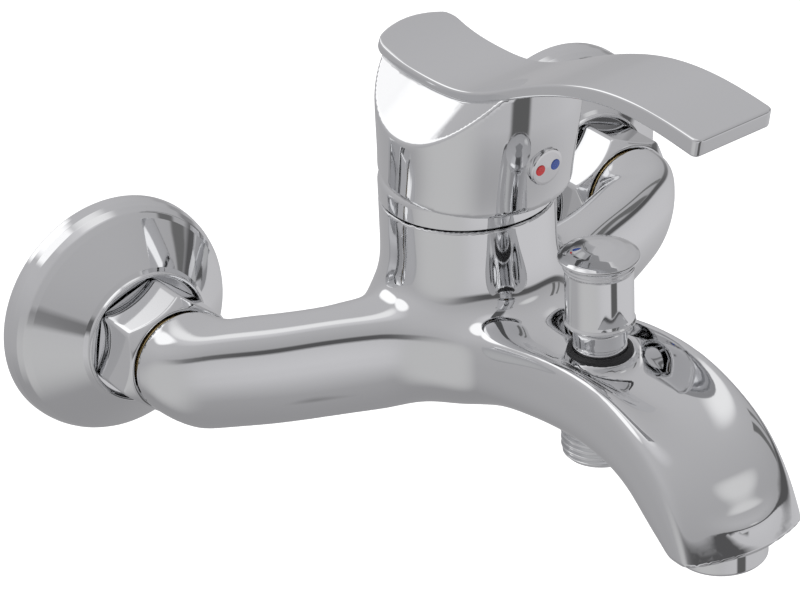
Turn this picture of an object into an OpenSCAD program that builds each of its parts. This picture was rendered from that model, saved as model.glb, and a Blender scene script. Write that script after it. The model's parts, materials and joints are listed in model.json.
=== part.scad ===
// Wall mounted bath mixer: one lever, one spout, a pull-up diverter and a shower outlet.
// Millimetres. The wall is the plane y = 0, the faucet reaches out along -y, and z is up.
// The origin lies on the wall, midway between the two inlets, at the height of the body's axis.

/* [Installation] */
// Distance between the two inlets of the body
inlet_spacing = 150; // [140:1:160]
// Drop of the wall threads below the body's axis, taken up by the eccentric unions
union_offset = 7; // [4:0.5:8]
// Crest radius of the wall and shower threads, half an inch nominal
half_inch_r = 10.48; // [10.48]
// Crest radius of the union threads, three quarters of an inch nominal
three_quarter_r = 13.22; // [13.22]
// Length of the wall thread behind the wall plane
wall_thread_l = 14; // [10:1:20]

/* [Escutcheon] */
// Radius of the flange against the wall
flange_r = 33.2; // [30:0.2:36]
// Depth of the rolled rim of the flange
rim_depth = 8; // [5:0.5:10]
// Radius of the flange where the rim ends and the cone starts
crease_r = 31.2; // [28:0.2:34]
// Distance from the wall to the front of the neck ring
neck_y = 20; // [18:0.5:24]
// Outer radius of the neck ring
neck_r = 18.5; // [18:0.1:20]

/* [Union nut] */
// Width of the hexagon across its flats
nut_af = 30; // [29:0.5:32]
// Distance from the wall to the front face of the nut
nut_front_y = 35.2; // [34:0.1:36]
// Length of the nut
nut_l = 16; // [14:1:18]

/* [Body] */
// Distance from the wall to the axis of the column
column_y = 63; // [60:0.5:66]
// Radius of the column
column_r = 23.5; // [22.5:0.1:24]
// Height of the top of the column
column_top = 36; // [34:0.5:38]
// Radius of the arm's round end at the nut
arm_end_r = 14.3; // [14:0.1:15]
// Height of the arm's flat top above its axis
arm_top = 12.3; // [11.5:0.1:13]
// Depth of the arm's belly below its axis
arm_belly = 18; // [16:0.2:19]

/* [Diverter and outlets] */
// Distance from the wall to the axis of the diverter and the shower outlet
diverter_y = 119.4; // [116:0.2:122]
// Height of the top of the diverter boss
boss_top = 13.1; // [12:0.1:14]
// Height of the lower rim of the diverter knob
knob_z = 21.4; // [20:0.2:23]
// Radius of the knob's grip
knob_r = 9; // [8:0.1:10]
// Height of the lower end of the shower thread
shower_z = -16.5; // [-18:0.5:-15]
// Distance from the wall to the axis of the aerator
aerator_y = 167.7; // [165:0.2:170]
// Height of the lower end of the aerator
aerator_z = -24; // [-26:0.5:-22]
// Outer radius of the aerator housing
aerator_r = 12; // [11.5:0.1:12.5]

/* [Handle] */
// Height of the lever's tilting axis
pivot_z = 30; // [28:0.5:32]
// Forward tilt of the handle when the water is off
rest_tilt = 6; // [0:0.5:8]
// Turn of the lever away from straight ahead
rest_turn = 5; // [-10:1:10]
// Radius of the hub near its rim
hub_r = 25.6; // [25:0.1:26]
// Radius of the hub at its widest
hub_wide_r = 27; // [26:0.1:28]
// Half width of the lever
lever_half_w = 13; // [11:0.5:14]
// Thickness of the lever
lever_t = 3; // [2.5:0.1:4]
// Reach of the lever forward of the column's axis
lever_reach = 100; // [90:1:110]

/* [Cartridge] */
// Outer radius of the cartridge housing
cartridge_r = 17.5; // [17.5]
// Height of the floor that the cartridge stands on
floor_z = 6; // [5:0.5:8]

/* [Hidden] */

$fa = 4;
$fs = 0.6;
half_spacing = inlet_spacing / 2;
// Clearance between pieces that don't touch, and radial clearance of a turning fit
gap = 0.3;
running = 0.04;
thread_pitch = 1.8;
thread_depth = 1.1;

// Smooth step from 0 to 1
function ease(t) = t <= 0 ? 0 : t >= 1 ? 1 : t * t * (3 - 2 * t);
function mix(a, b, t) = a + (b - a) * t;
function sgn_pow(v, p) = sign(v) * pow(abs(v), p);

// Catmull-Rom value through the rows of a table, one column at a time
function spline_row(table, u) =
    let (
        last = len(table) - 1,
        i = min(floor(u), last - 1),
        t = u - i,
        a = table[max(i - 1, 0)],
        b = table[i],
        c = table[i + 1],
        d = table[min(i + 2, last)]
    )
    0.5 * ((2 * b) + (c - a) * t + (2 * a - 5 * b + 4 * c - d) * t * t + (3 * b - a - 3 * c + d) * t * t * t);

// A closed skin over rings of points, with flat ends
module skin(rings) {
    n = len(rings[0]);
    m = len(rings);
    sides = [for (i = [0 : m - 2], j = [0 : n - 1])
        [i * n + j, (i + 1) * n + j, (i + 1) * n + (j + 1) % n, i * n + (j + 1) % n]];
    first = [for (j = [0 : n - 1]) j];
    last = [for (j = [n - 1 : -1 : 0]) (m - 1) * n + j];
    polyhedron(points = [for (r = rings) each r], faces = concat([first], sides, [last]), convexity = 8);
}

// Turn a piece drawn round z so that its axis points out of the wall, at an inlet
module at_inlet(side, y = 0, z = 0) {
    translate([side * half_spacing, -y, z]) rotate([90, 0, 0]) children();
}

module at_column() {
    translate([0, -column_y, 0]) rotate([0, 0, rest_turn]) children();
}

module at_diverter() {
    translate([0, -diverter_y, 0]) children();
}

module at_aerator() {
    translate([0, -aerator_y, 0]) children();
}

// The tilted frame of the handle: z = 0 on the lever's axis, -y forward
module at_handle() {
    translate([0, -column_y, pivot_z]) rotate([0, 0, rest_turn]) rotate([rest_tilt, 0, 0]) children();
}

// An outer thread of rings, from z = 0 up, bored to inner_r
module threaded_tube(crest_r, inner_r, length) {
    root_r = crest_r - thread_depth;
    turns = floor(length / thread_pitch);
    rotate_extrude() polygon(concat(
        [[inner_r, 0], [root_r, 0]],
        [for (i = [0 : turns - 1]) each [
            [crest_r, (i + 0.35) * thread_pitch],
            [crest_r, (i + 0.65) * thread_pitch],
            [root_r, (i + 1) * thread_pitch]
        ]],
        [[root_r, length], [inner_r, length]]
    ));
}

module tube(outer_r, inner_r, length) {
    difference() {
        cylinder(r = outer_r, h = length);
        translate([0, 0, -1]) cylinder(r = inner_r, h = length + 2);
    }
}

module ring_seal(mid_r, cord_r) {
    rotate_extrude() translate([mid_r, 0]) circle(r = cord_r, $fn = 24);
}

// ---------------------------------------------------------------- body

ring_n = 32;

// Stations along the right arm, out of its nut and back to the column:
// inner x and y, outer x and y, height of the top, depth of the belly, squareness of the top
arm_stations = [
    [60.7, -36.4, 89.3, -36.4, arm_end_r, arm_end_r, 1],
    [60.9, -37.6, 88.2, -39.4, 13.9, 15.2, 0.9],
    [60.6, -39, 86.4, -42.4, 13, 16.8, 0.75],
    [59.8, -40.6, 83.2, -46, arm_top, 17.8, 0.66],
    [58, -42.2, 78, -50, arm_top, arm_belly, 0.6],
    [54, -44.2, 70.4, -54.6, arm_top, arm_belly + 0.2, 0.6],
    [48, -46.9, 60.8, -59.2, arm_top, arm_belly + 0.5, 0.6],
    [40, -50.3, 49.4, -64, arm_top, arm_belly + 0.9, 0.6],
    [32, -53, 40, -67.4, arm_top, arm_belly + 1, 0.6],
    [24, -55.2, 31, -71, arm_top, arm_belly, 0.6],
    [8, -57, 13, -75, arm_top, arm_belly - 2, 0.6]
];

// One ring of the arm: round at the nut, flat on top and full in front along its length
function arm_ring(row) =
    let (
        inner = [row[0], row[1]],
        outer = [row[2], row[3]],
        middle = (inner + outer) / 2,
        reach = (outer - inner) / 2
    )
    [for (j = [0 : ring_n - 1])
        let (
            a = 360 * j / ring_n,
            at = middle + reach * sgn_pow(cos(a), sin(a) > 0 ? row[6] : 1)
        )
        [at[0], at[1], sin(a) > 0 ? row[4] * pow(sin(a), row[6]) : row[5] * sin(a)]];

module arm() {
    steps = 23;
    last = len(arm_stations) - 1;
    skin([for (i = [0 : steps]) arm_ring(spline_row(arm_stations, last * i / steps))]);
}

// Stations along the spout: y and z of the crests beside the dish, y and z of the lower edges,
// half width, depth of the dish below the crests, squareness
spout_stations = [
    [-58, 11.4, -58, -16, 42, 0, 0.6],
    [-66, 11.4, -66, -16, 37, 0, 0.6],
    [-72, 11.5, -72, -15.4, 30, 0, 0.6],
    [-78, 11.6, -78, -14.2, 24, 0.3, 0.58],
    [-86, 11.8, -86, -11.8, 19.6, 1, 0.56],
    [-96, 12.5, -95, -8.8, 17.8, 3, 0.54],
    [-112, 14.6, -109, -5.6, 17.4, 8.5, 0.52],
    [-128, 16.2, -124, -3.4, 17.6, 9.6, 0.5],
    [-142, 15.8, -137, -3.3, 18, 7, 0.5],
    [-153, 13, -146, -4.6, 18.4, 4, 0.5],
    [-163.4, 8.2, -153, -7.6, 18.7, 1.2, 0.5],
    [-171.2, 1.1, -159, -11.8, 18.9, -0.4, 0.5],
    [-176.8, -8.4, -164, -14.8, 19, -1.2, 0.5],
    [-179.8, -16.3, -168, -17, 19, -2, 0.5]
];

// The crests stand at nine tenths of the half width, so the full section is a little taller
function spout_ring(row) =
    let (
        crest = [row[0], row[1]],
        edge = [row[2], row[3]],
        middle = (crest + edge) / 2,
        half = (crest - edge) / 2,
        tau = norm(half),
        dish = row[5]
    )
    [for (j = [0 : ring_n - 1])
        let (
            a = 360 * j / ring_n,
            c = sgn_pow(cos(a), row[6]),
            s = sgn_pow(sin(a), row[6]),
            hollow = 1.43 * dish * pow(max(0, 1 - c * c), 1.5),
            up = s > 0 ? (tau + 0.43 * dish) * s - hollow : 1.25 * tau * s,
            at = middle + half * up / tau
        )
        [row[4] * c, at[0], at[1]]];

module spout() {
    steps = 30;
    last = len(spout_stations) - 1;
    skin([for (i = [0 : steps]) spout_ring(spline_row(spout_stations, last * i / steps))]);
}

// The column runs down into a hollow curve above each arm
module column() {
    foot_z = -16;
    fillet_r = 10;
    fillet_z = 22;
    translate([0, -column_y, 0]) {
        rotate_extrude($fn = 72) polygon([
            [0, foot_z], [column_r - 9, foot_z], [column_r - 4, foot_z + 3], [column_r, foot_z + 9],
            [column_r, column_top], [0, column_top]
        ]);
        skin([for (i = [-1 : 8])
            let (
                t = 90 - max(i, 0) * 11,
                rx = column_r - 0.4 + fillet_r * (1 - cos(t)),
                ry = column_r - 0.4 - fillet_r * (1 - cos(t)) / 2,
                z = i < 0 ? 0 : fillet_z - fillet_r * sin(t)
            )
            [for (j = [0 : 47]) [rx * cos(j * 7.5), ry * sin(j * 7.5), z]]]);
    }
}

module diverter_boss() {
    at_diverter() rotate_extrude($fn = 48) polygon(concat(
        [[0, -5], [8, -5], [11.5, 3.2]],
        [for (i = [0 : 4])
            let (t = i * 22.5)
            [8.9 + 2.6 * (1 - sin(t)), 6.6 - 3.4 * cos(t)]],
        [[8.9, boss_top], [0, boss_top]]
    ));
}

cavity_r = cartridge_r + 0.3;
cavity_thread_r = 19.2;
// Ports of the cartridge: two inlets side by side at the back, one outlet in front
port_x = 7;
port_y = 3;
outlet_port_y = -7.5;
tail_r = 9.4;
tail_depth = 6.2;

// Inside ways, as points with a radius: from the right union to its port, and along the spout
inlet_way = [
    [75, -40, -1.5, 5.4], [74, -43, -1.5, 5.4], [69.5, -45.6, -1.5, 5.2], [61.8, -49.4, -1.5, 5.2],
    [50, -54.5, -1.5, 5.2], [38, -59.4, -1.5, 5.2], [28, -61.6, -1.5, 5.2], [16, -61, -1.5, 5],
    [4, -60, -1.5, 4.6]
];
spout_way = [
    [0, -66, -1, 4], [0, -82, -1, 4], [0, -98, -0.6, 3.8], [0, -110, -0.2, 3.5], [0, -130, -0.2, 3.5],
    [0, -142, 0.6, 3.6], [0, -151, 0.2, 3.8], [0, -158, -2.6, 4.2], [0, -163.5, -7, 4.8], [0, -167, -12.6, 5.4]
];

// A round way through its points, each ring square to the way
module way(points) {
    sides = 16;
    last = len(points) - 1;
    skin([for (i = [0 : last])
        let (
            d = points[min(i + 1, last)] - points[max(i - 1, 0)],
            ahead = [d[0], d[1], d[2]] / norm([d[0], d[1], d[2]]),
            across = cross([0, 0, 1], ahead) / norm(cross([0, 0, 1], ahead)),
            up = cross(ahead, across),
            r = points[i][3]
        )
        [for (j = [0 : sides - 1])
            let (a = 360 * j / sides)
            [points[i][0], points[i][1], points[i][2]] + r * cos(a) * across + r * sin(a) * up]]);
}

module water_ways() {
    for (side = [-1, 1]) {
        at_inlet(side, nut_front_y) cylinder(r = tail_r, h = tail_depth);
        mirror([side < 0 ? 1 : 0, 0, 0]) way(inlet_way);
        translate([side * port_x, port_y - column_y, -1]) cylinder(r = 3.3, h = floor_z + 2);
    }
    translate([0, outlet_port_y - column_y, -1]) cylinder(r = 3.5, h = floor_z + 2);
    way(spout_way);
}

// Diverter chamber, from the seat of the shower nipple up to the gland
seat_z = -4;
chamber_r = 7;
chamber_top = 8.8;
gland_thread_r = 7.4;
gland_r = 7;
spigot_r = 8.2;
outlet_boss_z = -9;
ring_seat_z = 11.8;
ring_seat_r = 8.3;
rim_plane_z = -17;
aerator_seat_z = -12;
aerator_thread_r = 10.8;
// Where the cartridge nut bottoms, and the two pegs that stop the cartridge from turning
nut_seat_z = 27;
peg_x = 8;
peg_y = 13;
peg_r = 1.8;

// The casting's outside, taken as one faceted shell
module body_shell() {
    resize([0, 0, 0]) union() {
        arm();
        mirror([1, 0, 0]) arm();
        spout();
        column();
        diverter_boss();
    }
}

// Round bearing of the cartridge, and the thread of its nut
module cartridge_cavity() {
    translate([0, -column_y, 0]) rotate_extrude() polygon([
        [0, floor_z], [cavity_r, floor_z], [cavity_r, nut_seat_z], [cavity_thread_r, nut_seat_z],
        [cavity_thread_r, column_top + 2], [0, column_top + 2]
    ]);
}

// Spigot of the shower nipple, chamber of the plunger, thread of the gland, seat of its ring
module diverter_chamber() {
    at_diverter() rotate_extrude() polygon([
        [0, -30], [spigot_r, -30], [spigot_r, seat_z], [chamber_r, seat_z], [chamber_r, chamber_top],
        [gland_thread_r, chamber_top], [gland_thread_r, ring_seat_z], [ring_seat_r, ring_seat_z],
        [ring_seat_r, boss_top + 2], [0, boss_top + 2]
    ]);
}

module aerator_seat() {
    way_r = 6.4;
    at_aerator() rotate_extrude() polygon([
        [0, -30], [aerator_thread_r, -30], [aerator_thread_r, aerator_seat_z], [way_r, aerator_seat_z],
        [way_r, aerator_seat_z + 2.5], [0, aerator_seat_z + 2.5]
    ]);
}

module mixer_body() {
    color([0.74, 0.75, 0.77]) difference() {
        union() {
            body_shell();
            at_diverter() translate([0, 0, outlet_boss_z]) cylinder(r = half_inch_r + 0.2, h = 9);
            at_aerator() translate([0, 0, rim_plane_z]) cylinder(r = aerator_r + 1, h = 7);
        }
        cartridge_cavity();
        for (side = [-1, 1]) translate([side * peg_x, peg_y - column_y, floor_z - 3]) cylinder(r = peg_r + gap, h = 5);
        water_ways();
        diverter_chamber();
        aerator_seat();
    }
}

// ---------------------------------------------------------------- inlets

union_face_y = 26.4;

module eccentric_union(side) {
    color([0.80, 0.72, 0.52]) difference() {
        union() {
            at_inlet(side, 7) threaded_tube(three_quarter_r, 2, union_face_y - 7);
            at_inlet(side, 4) cylinder(r = 12.1, h = 5);
            hull() {
                at_inlet(side, 0.5) cylinder(r = 12.1, h = 4, $fn = 32);
                translate([0, 0, -union_offset]) at_inlet(side, -1) cylinder(r = 9.3, h = 2, $fn = 32);
            }
            translate([0, 0, -union_offset]) at_inlet(side, -wall_thread_l) {
                threaded_tube(half_inch_r, 2, wall_thread_l - 1.3);
                cylinder(r = half_inch_r - thread_depth - 0.1, h = wall_thread_l + 0.6);
            }
        }
        at_inlet(side, 3) cylinder(r = 9, h = 40);
        translate([0, 0, -union_offset]) at_inlet(side, -wall_thread_l - 1) cylinder(r = 7.2, h = 22);
    }
}

// A hollow bell: rolled rim on the wall, cone, and a rolled neck round the nut
module escutcheon(side) {
    inner_neck = neck_r - 1.1;
    web_y = 12.5;
    color([0.75, 0.76, 0.78]) at_inlet(side) rotate_extrude() polygon(concat(
        [[flange_r - 1.3, 0], [flange_r, 0]],
        [for (i = [1 : 6])
            let (t = i / 6)
            [mix(flange_r, crease_r, t * t), rim_depth * t]],
        [[neck_r - 0.6, neck_y - 1.4]],
        [for (i = [0 : 6])
            let (t = i * 30 - 50)
            [neck_r - 0.55 + 0.55 * cos(t), neck_y - 0.55 + 0.55 * sin(t)]],
        [
            [inner_neck, neck_y - 1], [inner_neck, web_y + 1.2],
            [three_quarter_r + 0.05, web_y + 1.2], [three_quarter_r + 0.05, web_y - 0.6],
            [neck_r + 1, web_y - 0.6], [crease_r - 1.7, rim_depth - 1.2], [flange_r - 1.3, 1.5]
        ]
    ));
}

module union_nut(side) {
    back_y = nut_front_y - nut_l;
    across = nut_af / cos(30) / 2;
    color([0.74, 0.75, 0.77]) at_inlet(side, back_y) difference() {
        intersection() {
            rotate([0, 0, side * 10]) cylinder(r = across, h = nut_l, $fn = 6);
            rotate_extrude() polygon([
                [0, 0], [15.6, 0], [17.6, 1.4], [17.6, nut_l - 3.2],
                [arm_end_r + 0.4, nut_l - 0.2], [arm_end_r, nut_l], [0, nut_l]
            ]);
        }
        translate([0, 0, -1]) cylinder(r = three_quarter_r + 0.03, h = nut_l - 2.8);
        cylinder(r = tail_r + 0.2, h = nut_l + 1);
    }
}

// The tailpiece screws into the arm; its flange holds the nut and presses the washer
module inlet_tailpiece(side) {
    color([0.80, 0.72, 0.52]) difference() {
        union() {
            at_inlet(side, union_face_y + 2.1) cylinder(r = 12.7, h = 2.6);
            at_inlet(side, union_face_y + 2.1) cylinder(r = tail_r, h = nut_front_y + tail_depth - union_face_y - 2.4);
        }
        at_inlet(side, union_face_y) cylinder(r = 7.4, h = 30);
    }
}

module union_washer(side) {
    color([0.12, 0.12, 0.13]) at_inlet(side, union_face_y) tube(12.7, 8.4, 2.1);
}

// ---------------------------------------------------------------- cartridge

disc_z = 14.5;
carrier_z = 18.4;
housing_z = 11;
shoulder_z = 28;
rotor_r = 13.4;
rotor_z = 22.6;
rotor_top = 36;
ball_drop = 8.5;
ball_r = 2.2;
disc_rest = ball_drop * sin(rest_tilt);

module bonnet_ring() {
    lip = 3;
    color([0.74, 0.75, 0.77]) translate([0, -column_y, column_top]) rotate_extrude() polygon(concat(
        [[16.9, 0.4], [column_r - 0.5, 0.4], [column_r, 0.9], [column_r, 5]],
        [for (i = [1 : 9])
            let (t = i * 8)
            [column_r - 5.6 * (1 - cos(t)), 5 + 3.9 * sin(t)]],
        [[16.9, 5 + lip + 0.4]]
    ));
}

module cartridge_nut() {
    color([0.80, 0.72, 0.52]) translate([0, -column_y, 0]) difference() {
        union() {
            translate([0, 0, shoulder_z]) cylinder(r = cavity_thread_r, h = column_top - shoulder_z);
            translate([0, 0, column_top - 0.1]) cylinder(r = 16.7, h = 5, $fn = 12);
        }
        translate([0, 0, shoulder_z - 1]) cylinder(r = 15.1, h = 20);
    }
}

module cartridge_housing() {
    color([0.90, 0.90, 0.86]) translate([0, -column_y, 0]) difference() {
        union() {
            translate([0, 0, housing_z]) cylinder(r = cartridge_r, h = shoulder_z - housing_z);
            translate([0, 0, housing_z]) cylinder(r = 15, h = rotor_top + 1.5 - housing_z);
        }
        translate([0, 0, housing_z - 1]) cylinder(r = rotor_r + running + 0.8, h = rotor_z - housing_z + 1);
        translate([0, 0, housing_z]) cylinder(r = rotor_r + running, h = rotor_top - housing_z + 0.2);
        translate([0, 0, housing_z]) cylinder(r = 11.5, h = 40);
    }
}

module cartridge_base() {
    color([0.86, 0.86, 0.82]) translate([0, -column_y, 0]) difference() {
        union() {
            translate([0, 0, floor_z + 1]) cylinder(r = cartridge_r - 0.1, h = housing_z - floor_z - 1);
            for (side = [-1, 1]) translate([side * peg_x, peg_y, floor_z - 2]) cylinder(r = peg_r, h = 4);
        }
        for (side = [-1, 1]) translate([side * port_x, port_y, floor_z - 1]) cylinder(r = 3.4, h = 10);
        translate([0, outlet_port_y, floor_z - 1]) cylinder(r = 4.2, h = 10);
    }
}

module cartridge_seals() {
    color([0.10, 0.10, 0.11]) translate([0, -column_y, floor_z + 0.5]) {
        for (side = [-1, 1]) translate([side * port_x, port_y, 0]) ring_seal(4.6, 0.5);
        translate([0, outlet_port_y, 0]) ring_seal(5.4, 0.5);
    }
}

module fixed_disc() {
    color([0.93, 0.92, 0.88]) translate([0, -column_y, housing_z + 0.05]) difference() {
        cylinder(r = rotor_r + 0.6, h = disc_z - housing_z - 0.1);
        for (side = [-1, 1]) translate([side * port_x, port_y, -1]) cylinder(r = 2.8, h = 8);
        translate([0, outlet_port_y, -1]) cylinder(r = 3.6, h = 8);
    }
}

module moving_disc() {
    color([0.95, 0.94, 0.90]) at_column() translate([0, disc_rest, disc_z]) difference() {
        cylinder(r = 10.2, h = carrier_z - disc_z);
        hull() {
            translate([0, -5.5, -1]) cylinder(r = 3.2, h = 2.8, $fn = 32);
            translate([0, 1.5, -1]) cylinder(r = 3.2, h = 2.8, $fn = 32);
        }
    }
}

module disc_carrier() {
    slot = ball_r + gap;
    color([0.25, 0.35, 0.55]) at_column() translate([0, disc_rest, carrier_z]) difference() {
        cylinder(r = 9.6, h = rotor_z - gap - carrier_z);
        translate([-slot, -slot - 0.3, 0.6]) cube([2 * slot, 2 * slot + 0.6, 5]);
    }
}

module cartridge_rotor() {
    slot_w = 7;
    color([0.30, 0.32, 0.35]) at_column() difference() {
        translate([0, 0, rotor_z]) cylinder(r = rotor_r, h = rotor_top - rotor_z);
        translate([-slot_w / 2, -10, rotor_z - 1]) cube([slot_w, 20, 20]);
        translate([-12, 0, pivot_z]) rotate([0, 90, 0]) cylinder(r = 1.5, h = 24);
    }
}

module stem_pin() {
    color([0.80, 0.81, 0.82]) at_column() translate([-11, 0, pivot_z]) rotate([0, 90, 0]) cylinder(r = 1.5, h = 22);
}

stem_top = 35;
stem_w = 6.4;

module cartridge_stem() {
    color([0.80, 0.72, 0.52]) at_handle() difference() {
        union() {
            translate([-stem_w / 2, -stem_w / 2, -6.5]) cube([stem_w, stem_w, stem_top + 6.5]);
            translate([0, 0, -ball_drop]) sphere(r = ball_r);
            translate([0, 0, -ball_drop]) cylinder(r = 1.6, h = 4);
        }
        translate([-5, 0, 0]) rotate([0, 90, 0]) cylinder(r = 1.5 + running, h = 10);
    }
}

// ---------------------------------------------------------------- handle

// The hub's axis lies a little forward of the stem; its rim is this far above the tilting axis
hub_shift = 1.9;
rim_z = 14.4;
roof_z = 31;
hub_bore_r = 23.8;
socket_boss_r = 7.5;
socket_z = 19;
button_z = 28;
button_r = 5.2;
button_proud = 0.4;
screw_r = 2.5;
screw_l = 8;
facet_slope = 0.67;
dot_r = 1.5;
dot_x = 2.7;

// Top of the lever along its reach: distance forward of the column's axis, height
lever_top = [
    [-24, 80], [-12, 75.6], [0, 74], [12, 74.3], [24, 77.7], [37, 83.5],
    [50, 88.6], [63, 92], [76, 93.1], [89, 92.2], [lever_reach + 2, 90]
];
lever_steps = 44;

function lever_point(i) = spline_row(lever_top, (len(lever_top) - 1) * i / lever_steps);
function lever_slope(i) =
    let (a = lever_point(max(i - 0.5, 0)), b = lever_point(min(i + 0.5, lever_steps)))
    atan2(b[1] - a[1], b[0] - a[0]);
// The lever is a little thicker at its free end
function lever_thick(i) = lever_t + 2 * ease((i - lever_steps + 26) / 26);
function lever_under(i) =
    let (p = lever_point(i), s = lever_slope(i), t = lever_thick(i))
    [p[0] + t * sin(s), p[1] - t * cos(s)];

// Side view of the lever, drawn forward and up, then stood upright across its width
module lever() {
    outline = concat(
        [for (i = [0 : lever_steps]) lever_point(i)],
        [for (i = [lever_steps : -1 : 0]) lever_under(i)]
    );
    translate([lever_half_w, 0, 0]) rotate([90, 0, -90]) linear_extrude(height = 2 * lever_half_w)
        polygon(outline);
}

// Everything under the lever's underside, sloping away to both sides of it
module under_facets() {
    reach = 36;
    last = 15;
    skin([for (i = [0 : last])
        let (p = lever_under(i * 1.3), drop = facet_slope * (reach - lever_half_w))
        [
            [-reach, -p[0], pivot_z], [reach, -p[0], pivot_z],
            [reach, -p[0], p[1] - drop + 0.2], [lever_half_w, -p[0], p[1] + 0.2],
            [-lever_half_w, -p[0], p[1] + 0.2], [-reach, -p[0], p[1] - drop + 0.2]
        ]]);
}

module hub_shape(grow = 0) {
    at_handle() translate([0, -hub_shift, 0]) rotate_extrude() polygon([
        [0, rim_z], [hub_r - 1.4 + grow, rim_z], [hub_r - 0.4 + grow, rim_z + 0.5], [hub_r + grow, rim_z + 1.6],
        [hub_r + 0.8 + grow, rim_z + 6], [hub_wide_r + grow, rim_z + 13], [hub_wide_r + grow, 60], [0, 60]
    ]);
}

// Radial frame on the front of the hub: z = 0 on the stem's axis, z along the reach
module at_button() {
    at_handle() translate([0, 0, button_z]) rotate([90, 0, 0]) children();
}

module handle() {
    color([0.74, 0.75, 0.77]) difference() {
        union() {
            intersection() {
                hub_shape();
                at_column() under_facets();
            }
            at_column() intersection() {
                lever();
                lever_trim();
            }
        }
        at_handle() translate([0, -hub_shift, rim_z - 1]) difference() {
            cylinder(r = hub_bore_r, h = roof_z - rim_z + 1);
            translate([0, hub_shift, socket_z - rim_z + 1]) cylinder(r = socket_boss_r, h = 20);
        }
        at_handle() translate([-stem_w / 2 - 0.05, -stem_w / 2 - 0.05, 10])
            cube([stem_w + 0.1, stem_w + 0.1, stem_top - 10 + 0.5]);
        at_button() cylinder(r = screw_r, h = 40);
        at_button() translate([0, 0, stem_w / 2 + screw_l + 0.5]) cylinder(r = 3.2, h = 30);
        at_button() translate([0, 0, hub_wide_r + hub_shift - 1.5]) cylinder(r = button_r + 0.1, h = 10);
    }
}

// The back of the lever follows the hub, and its front end is cut square across the reach
module lever_trim() {
    intersection() {
        translate([-40, -lever_reach, 40]) cube([80, lever_reach + 60, 80]);
        union() {
            translate([-40, -160, 40]) cube([80, 160, 80]);
            translate([0, -hub_shift - 1, 40]) cylinder(r = hub_r, h = 80);
        }
    }
}

module handle_set_screw() {
    color([0.35, 0.35, 0.37]) at_button() translate([0, 0, stem_w / 2 + 0.05]) difference() {
        cylinder(r = screw_r - 0.02, h = screw_l);
        translate([0, 0, screw_l - 3]) cylinder(r = 1.45, h = 4, $fn = 6);
    }
}

module indicator_button() {
    front = hub_wide_r + hub_shift;
    color([0.78, 0.79, 0.80]) difference() {
        intersection() {
            union() {
                at_button() translate([0, 0, front - 1.5]) cylinder(r = button_r, h = 4);
                at_button() translate([0, 0, front - 6]) cylinder(r = 3.1, h = 6);
            }
            hub_shape(button_proud);
        }
        for (side = [-1, 1]) at_button() translate([side * dot_x, 0, front - 0.3]) cylinder(r = dot_r, h = 3);
    }
}

module indicator_dot(side) {
    at_button() translate([side * dot_x, 0, hub_wide_r + hub_shift - 0.3]) cylinder(r = dot_r, h = 0.65);
}

module hot_dot() {
    color([0.80, 0.06, 0.06]) indicator_dot(-1);
}

module cold_dot() {
    color([0.12, 0.22, 0.60]) indicator_dot(1);
}

// ---------------------------------------------------------------- diverter

gland_top = 20.4;
gland_ceiling = 18.6;
spring_bore_r = 4.6;
rod_r = 2.2;
plunger_z = -3.2;
plunger_l = 3;
plunger_r = 6.2;
knob_inner_r = 7.6;
knob_roof = 31;
rod_top = 38;

module diverter_gland() {
    groove_z = 15.6;
    color([0.76, 0.76, 0.76]) at_diverter() difference() {
        rotate_extrude() polygon([
            [0, chamber_top + 0.2], [gland_thread_r, chamber_top + 0.2], [gland_thread_r, ring_seat_z],
            [gland_r, ring_seat_z], [gland_r, groove_z - 0.4], [gland_r - 0.5, groove_z],
            [gland_r, groove_z + 0.4], [gland_r, gland_top - 0.5], [gland_r - 0.5, gland_top], [0, gland_top]
        ]);
        cylinder(r = spring_bore_r, h = gland_ceiling);
        cylinder(r = rod_r + running, h = gland_top + 1);
    }
}

module diverter_gland_ring() {
    color([0.05, 0.05, 0.05]) at_diverter() translate([0, 0, ring_seat_z]) rotate_extrude() polygon([
        [gland_r, 0], [ring_seat_r - 0.02, 0], [ring_seat_r - 0.02, 0.6], [ring_seat_r - 0.5, 1], [gland_r, 1]
    ]);
}

// Grip, rolled lower rim, two beads under a mushroom cap
module diverter_knob() {
    cap_r = knob_r + 1.6;
    color([0.75, 0.76, 0.78]) at_diverter() difference() {
        translate([0, 0, knob_z]) rotate_extrude() polygon(concat(
            [[0, 0], [knob_r - 0.4, 0]],
            [for (i = [0 : 6]) let (t = i * 30 - 90) [knob_r - 0.2 + 0.5 * cos(t), 0.55 + 0.5 * sin(t)]],
            [[knob_r - 0.1, 1.4], [knob_r - 0.1, 15.6]],
            [for (i = [0 : 4]) let (t = i * 45 - 90) [knob_r + 0.35 * cos(t), 16 + 0.4 * sin(t)]],
            [for (i = [0 : 4]) let (t = i * 45 - 90) [knob_r + 0.1 + 0.4 * cos(t), 16.9 + 0.4 * sin(t)]],
            [[knob_r + 0.5, 17.6], [cap_r - 0.5, 18.5]],
            [for (i = [0 : 4]) let (t = i * 30 - 40) [cap_r - 0.5 + 0.5 * cos(t), 18.9 + 0.5 * sin(t)]],
            [for (i = [1 : 6])
                let (t = i / 6)
                [(cap_r - 0.6) * (1 - t), 19.4 + 2.2 * (1 - pow(1 - t, 2))]]
        ));
        cylinder(r = knob_inner_r, h = knob_roof);
        cylinder(r = rod_r, h = rod_top);
    }
}

module diverter_rod() {
    color([0.80, 0.72, 0.52]) at_diverter() translate([0, 0, plunger_z]) cylinder(r = rod_r, h = rod_top - plunger_z);
}

module diverter_plunger() {
    color([0.80, 0.72, 0.52]) at_diverter() translate([0, 0, plunger_z]) tube(plunger_r, rod_r, plunger_l);
}

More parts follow.
